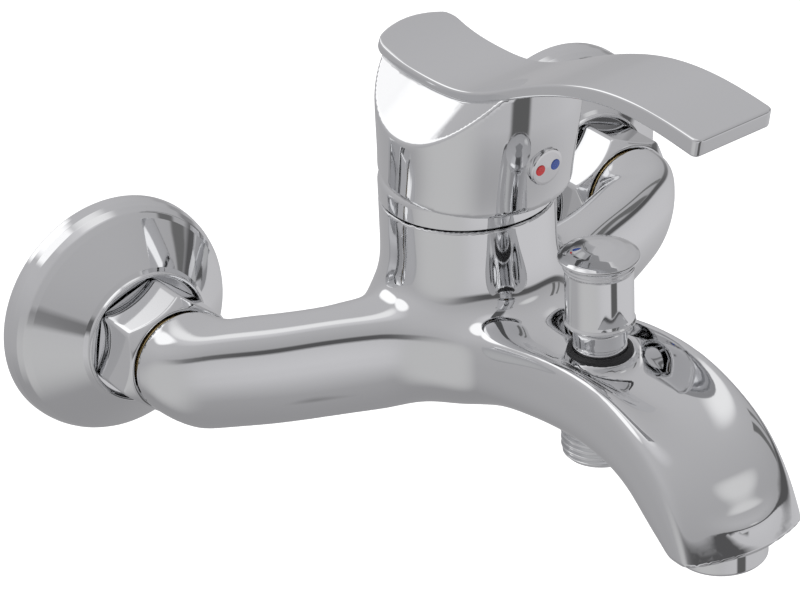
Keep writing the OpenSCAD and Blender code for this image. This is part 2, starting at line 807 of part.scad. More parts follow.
// A flat rubber under the plunger closes the shower; the one on top closes the spout when pulled
module diverter_seals() {
    color([0.08, 0.08, 0.08]) at_diverter() {
        translate([0, 0, seat_z]) cylinder(r = plunger_r, h = plunger_z - seat_z);
        translate([0, 0, plunger_z + plunger_l]) tube(plunger_r, rod_r + 2.2, 0.8);
    }
}

spring_r = 3.4;
wire_r = 0.4;
spring_turns = 9;

// A closed helix of round wire, from the plunger up to the gland's ceiling
module diverter_spring() {
    low = plunger_z + plunger_l + wire_r + 0.05;
    high = gland_ceiling - wire_r - 0.05;
    per_turn = 16;
    sides = 8;
    color([0.70, 0.70, 0.72]) at_diverter() skin([for (i = [0 : spring_turns * per_turn])
        let (a = 360 * i / per_turn, z = mix(low, high, i / (spring_turns * per_turn)))
        [for (j = [0 : sides - 1])
            let (b = 360 * j / sides, r = spring_r + wire_r * cos(b))
            [r * cos(a), r * sin(a), z + wire_r * sin(b)]]]);
}

// ---------------------------------------------------------------- outlets

nipple_bore_r = 5.2;

module shower_nipple() {
    color([0.74, 0.75, 0.77]) at_diverter() difference() {
        union() {
            translate([0, 0, shower_z]) threaded_tube(half_inch_r, 3, outlet_boss_z - shower_z);
            translate([0, 0, outlet_boss_z - 1]) cylinder(r = spigot_r, h = seat_z - outlet_boss_z + 1);
        }
        translate([0, 0, -30]) cylinder(r = nipple_bore_r, h = 40);
    }
}

module shower_check_valve() {
    low = shower_z + 1;
    color([0.30, 0.45, 0.70]) at_diverter() {
        translate([0, 0, low]) tube(nipple_bore_r, 3.8, 7);
        translate([0, 0, low + 2]) cylinder(r = 2.8, h = 1.6);
        translate([0, 0, low + 2]) cylinder(r = 0.8, h = 4.5);
        translate([-4, -0.5, low + 5]) cube([8, 1, 1]);
    }
}

module aerator_housing() {
    color([0.75, 0.76, 0.78]) at_aerator() difference() {
        rotate_extrude() polygon([
            [0, aerator_z], [aerator_r - 0.6, aerator_z], [aerator_r, aerator_z + 0.6],
            [aerator_r, rim_plane_z - 0.1], [10.7, rim_plane_z - 0.1], [10.7, aerator_seat_z - 1.6],
            [0, aerator_seat_z - 1.6]
        ]);
        translate([0, 0, -30]) cylinder(r = 9.2, h = 30);
    }
}

module aerator_washer() {
    color([0.10, 0.10, 0.11]) at_aerator() translate([0, 0, aerator_seat_z - 1.6]) tube(10.6, 8, 1.6);
}

// Plastic insert with a honeycomb face
module aerator_insert() {
    cell = 2.5;
    rings = 3;
    insert_l = aerator_seat_z - 1.8 - aerator_z - 1;
    color([0.88, 0.88, 0.88]) at_aerator() translate([0, 0, aerator_z + 1]) difference() {
        cylinder(r = 9.15, h = insert_l);
        translate([0, 0, 2.4]) cylinder(r = 8, h = insert_l);
        for (i = [-rings : rings], j = [-rings : rings])
            if (abs(i + j) <= rings)
                translate([cell * (i + j / 2), cell * j * sin(60), -1])
                    rotate([0, 0, 30]) cylinder(r = 1.2, h = 6, $fn = 6);
    }
}

mixer_body();
eccentric_union(-1);  // eccentric_union_left
eccentric_union(1);  // eccentric_union_right
escutcheon(-1);  // escutcheon_left
escutcheon(1);  // escutcheon_right
union_nut(-1);  // union_nut_left
union_nut(1);  // union_nut_right
inlet_tailpiece(-1);  // inlet_tailpiece_left
inlet_tailpiece(1);  // inlet_tailpiece_right
union_washer(-1);  // union_washer_left
union_washer(1);  // union_washer_right
bonnet_ring();
cartridge_nut();
cartridge_housing();
cartridge_base();
cartridge_seals();
fixed_disc();
moving_disc();
disc_carrier();
cartridge_rotor();
stem_pin();
cartridge_stem();
handle();
handle_set_screw();
indicator_button();
hot_dot();
cold_dot();
diverter_gland();
diverter_gland_ring();
diverter_knob();
diverter_rod();
diverter_plunger();
diverter_seals();
diverter_spring();
shower_nipple();
shower_check_valve();
aerator_washer();
aerator_housing();
aerator_insert();
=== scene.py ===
import json
import math
import bpy
import numpy as np
from mathutils import Matrix, Vector


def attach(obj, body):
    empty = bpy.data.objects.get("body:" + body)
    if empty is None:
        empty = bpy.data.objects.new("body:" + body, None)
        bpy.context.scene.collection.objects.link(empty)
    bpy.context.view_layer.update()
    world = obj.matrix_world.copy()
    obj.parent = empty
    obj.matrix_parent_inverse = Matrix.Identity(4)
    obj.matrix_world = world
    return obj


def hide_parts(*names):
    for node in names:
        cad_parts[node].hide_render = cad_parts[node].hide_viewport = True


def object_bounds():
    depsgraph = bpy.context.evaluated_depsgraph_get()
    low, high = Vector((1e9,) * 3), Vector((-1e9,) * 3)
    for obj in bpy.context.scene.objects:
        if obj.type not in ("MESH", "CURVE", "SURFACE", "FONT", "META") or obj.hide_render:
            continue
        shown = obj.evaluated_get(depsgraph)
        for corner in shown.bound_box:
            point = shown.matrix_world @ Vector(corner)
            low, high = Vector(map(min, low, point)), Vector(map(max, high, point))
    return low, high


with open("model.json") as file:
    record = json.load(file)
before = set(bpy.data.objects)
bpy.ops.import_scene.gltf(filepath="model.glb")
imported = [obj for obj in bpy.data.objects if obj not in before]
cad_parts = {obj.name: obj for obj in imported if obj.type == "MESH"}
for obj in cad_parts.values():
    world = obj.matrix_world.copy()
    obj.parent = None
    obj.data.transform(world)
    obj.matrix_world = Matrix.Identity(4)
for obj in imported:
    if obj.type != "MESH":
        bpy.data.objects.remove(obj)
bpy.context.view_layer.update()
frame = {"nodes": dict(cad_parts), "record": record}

scene = bpy.context.scene
scene.view_settings.view_transform = "Standard"
MM = 0.001

# Dimensions of the part, in millimetres
HALF_SPACING = 75.0
COLUMN_Y = -63.0
COLUMN_R = 23.5
COLUMN_TOP = 36.0
DIVERTER_Y = -119.4
AERATOR_Y = -167.7
NUT_FRONT = -35.2
RIM_PLANE = -17.0
PIVOT_Z = 30.0
TILT = math.radians(6)
TURN = math.radians(5)
HUB_SHIFT = 1.9
HUB_RIM = 14.4
HUB_RIM_R = 25.4
HUB_WIDE_R = 27.0
HUB_BORE_R = 23.8
FACET_SLOPE = 0.67
LEVER_HALF = 13.0
LEVER_REACH = 100.0
LEVER_LENGTH = 122.0
LEVER_THICK = 3.0
BUTTON_Z = 28.0
HALF_INCH_R = 10.48
THREE_QUARTER_R = 13.22
PITCH = 1.8
THREAD_DEPTH = 1.1
NUT_LENGTH = 16.0
NUT_HALF_AF = 15.0

# Half angles past which a corner is too straight or too sharp to round, and a very far point
STRAIGHT = 1.55
FOLDED = 0.02
FAR = 1e9

# Grid steps of the two implicit surfaces
BODY_STEP = 1.0
HUB_STEP = 0.8


# ---------------------------------------------------------------- camera

def make_camera():
    azimuth, elevation, roll = math.radians(-34.07), math.radians(28.73), math.radians(-2.5)
    target, distance = Vector((-0.02078, -0.060, 0.00947)), 1.0
    back = Vector((math.sin(azimuth) * math.cos(elevation), -math.cos(azimuth) * math.cos(elevation),
                   math.sin(elevation)))
    level = (-back).cross(Vector((0, 0, 1))).normalized()
    upright = level.cross(-back)
    right = level * math.cos(roll) + upright * math.sin(roll)
    up = upright * math.cos(roll) - level * math.sin(roll)
    camera = bpy.data.objects.new("camera", bpy.data.cameras.new("camera"))
    camera.matrix_world = Matrix(((right.x, up.x, back.x, 0), (right.y, up.y, back.y, 0),
                                  (right.z, up.z, back.z, 0), (0, 0, 0, 1)))
    camera.location = target + back * distance
    camera.data.sensor_width = 36.0
    camera.data.lens = 170.15
    camera.data.clip_start = 0.01
    scene.collection.objects.link(camera)
    scene.camera = camera


make_camera()


# ---------------------------------------------------------------- mesh tools

def mesh_object(name, verts, faces, normals=None):
    """A smooth-shaded object from millimetre points."""
    mesh = bpy.data.meshes.new(name)
    mesh.from_pydata((np.asarray(verts) * MM).tolist(), [], [list(map(int, f)) for f in faces])
    mesh.polygons.foreach_set("use_smooth", [True] * len(mesh.polygons))
    mesh.update()
    if normals is not None:
        mesh.normals_split_custom_set_from_vertices(np.asarray(normals).tolist())
    piece = bpy.data.objects.new(name, mesh)
    scene.collection.objects.link(piece)
    return piece


def axes(origin, axis):
    """Columns x, y, z and origin of a frame whose z runs along axis."""
    z = np.array(axis, float)
    z /= np.linalg.norm(z)
    x = np.cross([0, 0, 1.0], z) if abs(z[2]) < 0.9 else np.array([1.0, 0, 0])
    x /= np.linalg.norm(x)
    return np.stack([x, np.cross(z, x), z]), np.array(origin, float)


def rounded(profile, radii, steps=5):
    """The profile (r, z) with its corners rounded; radii is one number or one per corner."""
    pts = [np.array(p, float) for p in profile]
    if np.isscalar(radii):
        radii = [radii] * len(pts)
    out = []
    for i, (b, radius) in enumerate(zip(pts, radii)):
        if radius <= 0 or i in (0, len(pts) - 1):
            out.append(b)
            continue
        a, c = pts[i - 1], pts[i + 1]
        u, v = (a - b) / np.linalg.norm(a - b), (c - b) / np.linalg.norm(c - b)
        half = math.acos(max(-1, min(1, float(u @ v)))) / 2
        if half > STRAIGHT or half < FOLDED:
            out.append(b)
            continue
        cut = min(radius / math.tan(half), 0.49 * np.linalg.norm(a - b), 0.49 * np.linalg.norm(c - b))
        radius = cut * math.tan(half)
        centre = b + (u + v) / np.linalg.norm(u + v) * radius / math.sin(half)
        start, end = b + u * cut - centre, b + v * cut - centre
        sweep = math.acos(max(-1, min(1, float(start @ end) / radius ** 2)))
        for k in range(steps + 1):
            t = k / steps
            arm = math.sin((1 - t) * sweep) * start + math.sin(t * sweep) * end
            out.append(centre + arm / math.sin(sweep))
    return np.array(out)


def lathe_arrays(profile, segments=160, bump=None):
    """Points, quads and normals of a profile (r, z) turned about z; bump(r, z, angle) may change r."""
    prof = np.asarray(profile, float)
    step = np.diff(prof, axis=0)
    length = np.hypot(*step.T)
    flat = np.stack([step[:, 1], -step[:, 0]], 1)
    normal = np.zeros_like(prof)
    weight = length ** 2
    normal[:-1] += flat / length[:, None] * weight[:, None]
    normal[1:] += flat / length[:, None] * weight[:, None]
    normal /= np.linalg.norm(normal, axis=1)[:, None] + 1e-12
    angle = np.arange(segments) * 2 * math.pi / segments
    ca, sa = np.cos(angle), np.sin(angle)
    r = np.repeat(prof[:, :1], segments, 1)
    z = np.repeat(prof[:, 1:], segments, 1)
    if bump is not None:
        r = bump(r, z, angle[None])
    pts = np.stack([r * ca, r * sa, z], -1).reshape(-1, 3)
    rise = np.repeat(normal[:, 1:], segments, 1)
    nrm = np.stack([normal[:, :1] * ca, normal[:, :1] * sa, rise], -1).reshape(-1, 3)
    i = np.arange(len(prof) - 1)[:, None] * segments
    j = np.arange(segments)[None]
    k = (j + 1) % segments
    faces = np.stack([i + j, i + k, i + segments + k, i + segments + j], -1).reshape(-1, 4)
    return pts, faces, nrm


def place(pts, nrm, origin, axis):
    """Points and normals turned from z to the axis and moved to the origin."""
    basis, origin = axes(origin, axis)
    return pts @ basis + origin, (nrm @ basis if nrm is not None else None)


def lathe(name, profile, origin=(0, 0, 0), axis=(0, 0, 1), segments=160):
    pts, faces, nrm = lathe_arrays(profile, segments)
    pts, nrm = place(pts, nrm, origin, axis)
    return mesh_object(name, pts, faces, nrm)


def threaded(name, crest, bore, length, origin, axis, lead=1.2, segments=120):
    """A tube with a helical outer thread from z = 0 up, which fades out at both ends."""
    rows = int(length / (PITCH / 10)) + 1
    z = np.linspace(0, length, rows)
    root = crest - THREAD_DEPTH

    def helix(r, zz, angle):
        wave = np.abs(((zz / PITCH - angle / (2 * math.pi)) % 1) * 2 - 1)
        height = np.clip((wave - 0.14) / 0.72, 0, 1)
        fade = np.clip(zz / lead, 0, 1) * np.clip((length - zz) / lead, 0, 1)
        return np.where(r > root - 0.01, root + THREAD_DEPTH * height * fade, r)

    profile = [[bore, 0], [root - 0.3, 0]] + [[root, h] for h in z]
    profile += [[root - 0.3, length], [bore, length], [bore, 0]]
    pts, faces, _ = lathe_arrays(profile, segments, helix)
    pts, _ = place(pts, None, origin, axis)
    return mesh_object(name, pts, faces)


def join(name, parts):
    bpy.ops.object.select_all(action="DESELECT")
    for part in parts:
        part.select_set(True)
    bpy.context.view_layer.objects.active = parts[0]
    bpy.ops.object.join()
    parts[0].name = name
    return parts[0]


# ---------------------------------------------------------------- implicit surfaces

def smin(a, b, k):
    """The smaller of two fields, with a fillet where they are within k of each other."""
    h = np.maximum(k - np.abs(a - b), 0) / k
    return np.minimum(a, b) - h * h * h * k / 6


def smax(a, b, k):
    return -smin(-a, -b, k)


def ease(t):
    t = np.clip(t, 0, 1)
    return t * t * (3 - 2 * t)


def unit(field, h=0.04):
    """A field divided by its own slope, so that it measures millimetres near its surface."""
    def scaled(x, y, z):
        v = field(x, y, z)
        slope = ((field(x + h, y, z) - v) ** 2 + (field(x, y + h, z) - v) ** 2
                 + (field(x, y, z + h) - v) ** 2)
        return v * h / np.sqrt(slope + 1e-9)
    return scaled


def middle_of(rows):
    """Middle of the two points that a row starts with."""
    return (rows[..., 0:2] + rows[..., 2:4]) / 2


def half_of(rows):
    """Half of the way from a row's second point to its first."""
    return (rows[..., 0:2] - rows[..., 2:4]) / 2


class Stations:
    """Rows of a table joined by a natural cubic spline over the distance between their middles."""

    def __init__(self, rows, middle=middle_of, samples=120):
        self.rows = np.array(rows, float)
        mid = middle(self.rows)
        self.knots = np.concatenate([[0], np.cumsum(np.linalg.norm(np.diff(mid, axis=0), axis=1))])
        n, h = len(self.rows), np.diff(self.knots)
        system, right = np.eye(n), np.zeros_like(self.rows)
        for i in range(1, n - 1):
            system[i, i - 1:i + 2] = h[i - 1], 2 * (h[i - 1] + h[i]), h[i]
            ahead, behind = self.rows[i + 1] - self.rows[i], self.rows[i] - self.rows[i - 1]
            right[i] = 6 * (ahead / h[i] - behind / h[i - 1])
        self.bend = np.linalg.solve(system, right)
        self.t = np.linspace(0, self.knots[-1], samples)
        self.table = self.at(self.t)

    def at(self, t):
        i = np.clip(np.searchsorted(self.knots, t) - 1, 0, len(self.knots) - 2)
        h = (self.knots[i + 1] - self.knots[i])[..., None]
        a = (self.knots[i + 1] - t)[..., None] / h
        b = 1 - a
        return (a * self.rows[i] + b * self.rows[i + 1]
                + ((a ** 3 - a) * self.bend[i] + (b ** 3 - b) * self.bend[i + 1]) * h * h / 6)

    def find(self, p, q, batch=40000):
        """The row of the station whose line passes through each point (p, q)."""
        m, r = middle_of(self.table), half_of(self.table)
        shape = np.broadcast(p, q).shape
        p, q = np.broadcast_to(p, shape).ravel(), np.broadcast_to(q, shape).ravel()
        found = np.empty(p.size)
        length = np.linalg.norm(r[[0, -1]], axis=1)
        for s in range(0, p.size, batch):
            dp, dq = p[s:s + batch, None] - m[:, 0], q[s:s + batch, None] - m[:, 1]
            g = dp * r[:, 1] - dq * r[:, 0]
            near = np.abs(dp * r[:, 0] + dq * r[:, 1]) / (r ** 2).sum(1)
            cross = g[:, :-1] * g[:, 1:] <= 0
            k = np.argmin(np.where(cross, near[:, :-1], FAR), 1)
            row = np.arange(len(k))
            ga, gb = g[row, k], g[row, k + 1]
            t = self.t[k] + (self.t[1] - self.t[0]) * ga / np.where(ga == gb, 1, ga - gb)
            first, final = np.abs(g[:, 0]) / length[0], np.abs(g[:, -1]) / length[1]
            found[s:s + batch] = np.where(cross[row, k], t, np.where(first < final, 0, self.t[-1]))
        return self.at(found).reshape(*shape, -1)


def surface(name, field, low, high, step):
    """The zero surface of a field as quads (surface nets), its points moved onto the surface."""
    axis = [np.arange(a, b + step, step) for a, b in zip(low, high)]
    shape = [len(a) for a in axis]
    grid = axis[0][:, None, None], axis[1][None, :, None], axis[2][None, None, :]
    values = np.broadcast_to(field(*grid), shape)
    inside = values < 0
    corner = [(i, j, k) for i in (0, 1) for j in (0, 1) for k in (0, 1)]

    def shift(array, c):
        return array[c[0]:shape[0] - 1 + c[0], c[1]:shape[1] - 1 + c[1], c[2]:shape[2] - 1 + c[2]]

    count = sum(shift(inside, c).astype(np.int8) for c in corner)
    mixed = (count > 0) & (count < 8)
    cells = np.argwhere(mixed)
    number = np.full(mixed.shape, -1)
    number[mixed] = np.arange(len(cells))
    total, hits = np.zeros((len(cells), 3)), np.zeros(len(cells))
    for a in corner:
        for d in range(3):
            if a[d]:
                continue
            b = tuple(1 if e == d else a[e] for e in range(3))
            fa, fb = shift(values, a)[mixed], shift(values, b)[mixed]
            cross = (fa < 0) != (fb < 0)
            t = np.where(cross, fa / np.where(fa == fb, 1, fa - fb), 0)
            point = (cells + np.array(a)).astype(float)
            point[:, d] += t
            total += point * cross[:, None]
            hits += cross
    pts = total / hits[:, None] * step + np.array([a[0] for a in axis])
    quads = []
    for d in range(3):
        e, g = (d + 1) % 3, (d + 2) % 3
        near = [slice(None)] * 3
        far = [slice(None)] * 3
        near[d], far[d] = slice(0, -1), slice(1, None)
        change = inside[tuple(near)] != inside[tuple(far)]
        at = np.argwhere(change)
        at = at[(at[:, e] > 0) & (at[:, g] > 0)
                & (at[:, e] < shape[e] - 1) & (at[:, g] < shape[g] - 1)]
        ring = []
        for de, dg in ((-1, -1), (0, -1), (0, 0), (-1, 0)):
            c = at.copy()
            c[:, e] += de
            c[:, g] += dg
            ring.append(number[c[:, 0], c[:, 1], c[:, 2]])
        ring = np.stack(ring, 1)
        flip = ~inside[at[:, 0], at[:, 1], at[:, 2]]
        ring[flip] = ring[flip][:, ::-1]
        quads.append(ring)
    quads = np.concatenate(quads)

    def slope(p, h=0.03):
        x, y, z = p.T
        return np.stack([field(x + h, y, z) - field(x - h, y, z),
                         field(x, y + h, z) - field(x, y - h, z),
                         field(x, y, z + h) - field(x, y, z - h)], 1) / (2 * h)

    for _ in range(3):
        g = slope(pts)
        move = (field(*pts.T) / ((g ** 2).sum(1) + 1e-6))[:, None] * g
        size = np.linalg.norm(move, axis=1)[:, None]
        pts = pts - move * np.minimum(1, 0.5 * step / (size + 1e-9))
    g = slope(pts)
    return mesh_object(name, pts, quads, g / (np.linalg.norm(g, axis=1)[:, None] + 1e-9))


# ---------------------------------------------------------------- the body casting

# Right arm: inner x and y, outer x and y, height of its top, depth of its belly, squareness
ARM = Stations([
    [60.7, -36.4, 89.3, -36.4, 14.3, 14.3, 1], [60.7, -38.6, 87.2, -41.2, 13.3, 16.2, 0.8],
    [59.6, -40.8, 82.8, -46.6, 12.3, 17.8, 0.66], [57, -42.7, 75.8, -51.5, 12.3, 18, 0.6],
    [50, -45.9, 64.4, -57.7, 12.3, 18.4, 0.6], [40, -50.3, 49.4, -64, 12.3, 18.9, 0.6],
    [30, -53.8, 36, -69, 12.3, 18.8, 0.6], [14, -56.6, 17, -74, 12.3, 17.6, 0.6],
    [-2, -57, -2, -75, 12.3, 17, 0.6]])

# Spout: y and z of the crests beside its dish, y and z of its lower edges, half width, dish, squareness
SPOUT = Stations([
    [-54, 12, -54, -16, 30, 0, 0.6], [-66, 12, -66, -16, 24, 0, 0.6],
    [-78, 12, -78, -14.2, 19.2, 0.2, 0.58],
    [-86, 12, -86, -11.8, 17.9, 1, 0.56], [-96, 12.6, -95, -8.8, 17.5, 3, 0.54],
    [-112, 14.6, -109, -5.6, 17.4, 8.5, 0.52], [-128, 16.2, -124, -3.4, 17.6, 9.6, 0.5],
    [-142, 15.8, -137, -3.3, 18, 7, 0.5], [-153, 13, -146, -4.6, 18.4, 4, 0.5],
    [-163.4, 8.2, -153, -7.6, 18.7, 1.2, 0.5], [-171.2, 1.1, -159, -11.8, 18.9, -0.4, 0.5],
    [-176.8, -8.4, -164, -14.8, 19, -1.2, 0.5], [-179.8, -16.3, -168, -17, 19, -2, 0.5]])


def oval(u, v, n):
    """Below 0 inside a superellipse of power n, and 0 on it."""
    return (np.abs(u) ** n + np.abs(v) ** n) ** (1 / n) - 1


def slab(x, y, z):
    """Arms, spout and the column's foot as one section, blended in plan and closed above and below."""
    ax = np.abs(x)
    row = ARM.find(ax, y)
    middle, reach = middle_of(row), half_of(row)
    half = np.linalg.norm(reach, axis=-1)
    across = np.abs((ax - middle[..., 0]) * reach[..., 0] + (y - middle[..., 1]) * reach[..., 1]) / half
    arm_out = across - half
    arm_top, arm_belly, arm_square = row[..., 4], row[..., 5], row[..., 6]

    row = SPOUT.find(y, z)
    middle, reach = middle_of(row), half_of(row)
    thick = np.linalg.norm(reach, axis=-1)
    up = ((y - middle[..., 0]) * reach[..., 0] + (z - middle[..., 1]) * reach[..., 1]) / thick
    width, dish, spout_square = row[..., 4], row[..., 5], row[..., 6]
    # Behind the spout's root its sides close in a parabola
    root_y, root_curve = -68, 40
    spout_out = ax - width + np.maximum(0, y - root_y) ** 2 / root_curve

    disc_out = np.hypot(x, y - COLUMN_Y) - COLUMN_R
    blend, plan_fillet, disc_fillet = 26, 30, 12
    share = ease(0.5 + (arm_out - spout_out) / blend)
    out = smin(smin(arm_out, spout_out, plan_fillet), disc_out, disc_fillet)
    u = np.maximum(0, 1 + out / (half * (1 - share) + width * share))

    arm = np.where(z > 0, oval(u, z / arm_top, 2 / arm_square), oval(u, z / arm_belly, 2.0))
    # The dish is deepest on the middle line, and its crests rise beside it
    depth, rise, belly = 1.43, 0.43, 1.25
    hollow = depth * dish * np.maximum(0, 1 - np.minimum(u, 1) ** 2) ** 1.5 * ease(0.5 + up / thick)
    lifted = up + hollow
    power = 2 / spout_square
    spout = np.where(lifted > 0, oval(u, lifted / (thick + rise * dish), power),
                     oval(u, lifted / (belly * thick), power * (1 - 0.2 * (1 - share))))
    return arm * (1 - share) + spout * share


slab_mm = unit(slab)


def rod_field(rho, z, radius, low, high, corner):
    """An upright rod with rounded ends: its radius, its ends in z and the radius of its corners."""
    q = rho - radius + corner
    h = np.abs(z - (low + high) / 2) - (high - low) / 2 + corner
    return np.hypot(np.maximum(q, 0), np.maximum(h, 0)) + np.minimum(np.maximum(q, h), 0) - corner


def body_field(x, y, z):
    """The casting: fillets first, then its flat ends, then its three bores."""
    rho = np.hypot(x, y - COLUMN_Y)
    tap = np.hypot(x, y - DIVERTER_Y)
    outlet = np.hypot(x, y - AERATOR_Y)
    body = slab_mm(x, y, z)
    body = smin(body, rod_field(rho, z, COLUMN_R, -4, COLUMN_TOP + 4, 1), 15)
    body = smin(body, rod_field(tap, z, 8.9, -2, 13.1, 0.8), 6)
    body = smin(body, rod_field(tap, z, 10.7, -9, 2, 1), 4)
    body = smin(body, rod_field(outlet, z, 13, RIM_PLANE - 4, -9, 1), 5)
    body = smax(body, RIM_PLANE - z, 1.2)
    body = smax(body, z - COLUMN_TOP, 0.6)
    body = smax(body, y + 36.4, 1.6)
    body = np.maximum(body, -rod_field(rho, z, 19.4, 6, 60, 1))
    body = np.maximum(body, -rod_field(tap, z, 7.3, -40, 40, 1))
    return np.maximum(body, -rod_field(outlet, z, 11, -60, -12, 1))


def make_body():
    return surface("body_casting", body_field, (-91.3, -184.3, -21.3), (91.3, -34.3, 38.7), BODY_STEP)


# ---------------------------------------------------------------- the handle

# Top of the lever: distance forward of the column's axis, height
LEVER_TOP = Stations([
    [-24, 80], [-12, 75.6], [0, 74], [12, 74.3], [24, 77.7], [37, 83.5], [50, 88.6],
    [63, 92], [76, 93.1], [89, 92.2], [102, 90]], middle=lambda rows: rows)


def lever_height(reach):
    return np.interp(reach, LEVER_TOP.table[:, 0], LEVER_TOP.table[:, 1])


def lever_thick(reach):
    """The lever grows thicker toward its free end."""
    return LEVER_THICK + 2 * ease((reach - 28) / 74)


def handle_frame(x, y, z):
    """Point in the tilted frame of the hub: z up from the tilting axis, y backward."""
    dy, dz = y - COLUMN_Y, z - PIVOT_Z
    c, s = math.cos(TURN), math.sin(TURN)
    u, v = x * c + dy * s, dy * c - x * s
    c, s = math.cos(TILT), math.sin(TILT)
    return u, v * c + dz * s, dz * c - v * s


# The lever's underside above the hub
UNDER_X = np.linspace(-30, 40, 141)
UNDER_Z = lever_height(UNDER_X) - LEVER_THICK


def hub_field(x, y, z):
    """A cup that widens upward, under the lever, with a facet sloping away on each side of it."""
    u, v, w = handle_frame(x, y, z)
    rho = np.hypot(u, v + HUB_SHIFT)
    radius = np.interp(w, [HUB_RIM, HUB_RIM + 1.6], [HUB_RIM_R, HUB_RIM_R + 0.2])
    radius = radius + 1.4 * ease((w - HUB_RIM - 1) / 26) ** 0.8
    hub = smax(rho - radius, HUB_RIM - w, 1.8)
    c, s = math.cos(TURN), math.sin(TURN)
    side, reach = x * c + (y - COLUMN_Y) * s, -((y - COLUMN_Y) * c - x * s)
    # The facets start beside the lever with a soft bend
    over, bend = np.abs(side) - LEVER_HALF, 0.6
    over = np.where(over > bend, over, np.where(over < -bend, 0, (over + bend) ** 2 / (4 * bend)))
    top = (z - np.interp(reach, UNDER_X, UNDER_Z) - 0.3 + FACET_SLOPE * over) / 1.15
    hub = smax(hub, top, 1.4)
    hub = smax(hub, -rod_field(rho, w, HUB_BORE_R, 0, 31, 1.5), 0.6)
    return smin(hub, rod_field(np.hypot(u, v), w, 7.5, 19, 33, 0.6), 1.5)


def make_hub():
    return surface("handle_hub", hub_field, (-31.2, -99.2, 40.2), (31.2, -30.2, 84.2), HUB_STEP)


def make_lever():
    """A rounded bar bent along the lever's side view; its back end follows the hub's circle."""
    corner, arc, back_round, tip_round = 0.75, 5, 3.0, 2.0
    ring = []
    for cx, cz, start in ((1, 0, 0), (-1, 0, 90), (-1, -1, 180), (1, -1, 270)):
        for k in range(arc + 1):
            a = math.radians(start + 90 * k / arc)
            ring.append((cx, cz, math.cos(a), math.sin(a)))
        if start in (0, 180):
            sign = -1 if start == 0 else 1
            for k in range(1, 12):
                ring.append((cx + sign * 2 * k / 12, cz, 0, 1 if start == 0 else -1))
    ring = np.array(ring)
    ends = [corner * (1 - math.cos(math.radians(a))) for a in range(0, 91, 18)]
    inset = [math.sin(math.radians(a)) for a in range(0, 91, 18)]
    stations = [(e, 1 - i, 0) for e, i in zip(ends, inset)]
    stations += [(corner, 0, k / 1300) for k in (9, 14, 20, 27, 36, 48)]
    stations += [(corner, 0, k / 130) for k in range(6, 127)]
    stations += [(corner, 0, 1 - k / 1300) for k in (27, 20, 14, 9)]
    stations += [(e, 1 - i, 1) for e, i in reversed(list(zip(ends, inset)))]
    verts = []
    for end, shrink, along in stations:
        grow = corner * (1 - shrink)
        half = LEVER_HALF
        for radius, from_end in ((back_round, along * LEVER_LENGTH + end * (along == 0)),
                                 (tip_round, (1 - along) * LEVER_LENGTH + end * (along == 1))):
            inside = max(0.0, radius - from_end)
            half = min(half, LEVER_HALF - radius + math.sqrt(radius ** 2 - inside ** 2))
        x = ring[:, 0] * (half - corner) + ring[:, 2] * grow
        rear = -np.sqrt(HUB_RIM_R ** 2 - (x * 0.98) ** 2) + HUB_SHIFT + 1
        reach = rear + (LEVER_REACH - rear) * along
        reach = np.where(along == 0, rear + end, np.where(along == 1, LEVER_REACH - end, reach))
        thick = lever_thick(reach)
        depth = corner - ring[:, 3] * grow - ring[:, 1] * (thick - 2 * corner)
        slope = lever_height(reach + 0.5) - lever_height(reach - 0.5)
        size = np.hypot(1, slope)
        forward = reach + depth * slope / size
        height = lever_height(reach) - depth / size
        c, s = math.cos(TURN), math.sin(TURN)
        verts.append(np.stack([x * c + forward * s, COLUMN_Y + x * s - forward * c, height], -1))
    n, m = len(ring), len(stations)
    verts = np.concatenate(verts)
    faces = []
    for i in range(m - 1):
        for j in range(n):
            k = (j + 1) % n
            faces.append((i * n + j, (i + 1) * n + j, (i + 1) * n + k, i * n + k))
    faces.append(list(range(n)))
    faces.append([(m - 1) * n + k for k in reversed(range(n))])
    piece = mesh_object("handle_lever", verts, faces)
    weighted(piece)
    return piece


def weighted(piece):
    """Normals that lean to the larger faces, so flats stay flat beside their rounded edges."""
    mod = piece.modifiers.new("normals", "WEIGHTED_NORMAL")
    mod.weight = 60
    mod.keep_sharp = True


# ---------------------------------------------------------------- turned and threaded pieces

def side_name(side):
    return "left" if side < 0 else "right"


def escutcheon(side):
    rim = [[31.4, 0.2], [32.6, 0], [33.2, 0.6], [33.15, 2.2], [32.9, 4], [32.3, 6], [31.3, 8],
           [29.9, 9.4], [27.4, 11.6], [23.4, 15.1], [19.4, 18.4], [18.3, 19.1], [18.1, 19.7],
           [18.35, 20.3], [18.1, 20.5],
           [17.6, 20.3], [17.3, 19.6], [17.3, 18.7], [13.4, 18.5], [13.4, 12], [19, 11.6],
           [29.2, 7.2], [31.4, 0.2]]
    radii = [0, 0.3, 0.5, 1, 1, 2, 2.5, 3, 6, 6, 1, 0.4, 0.3, 0.3, 0.2, 0.3, 0.5, 0.5, 0.3, 0.3, 1, 1, 0]
    at = (side * HALF_SPACING, 0, 0)
    return lathe("cover_" + side_name(side), rounded(rim, radii, 6), at, (0, -1, 0), 200)


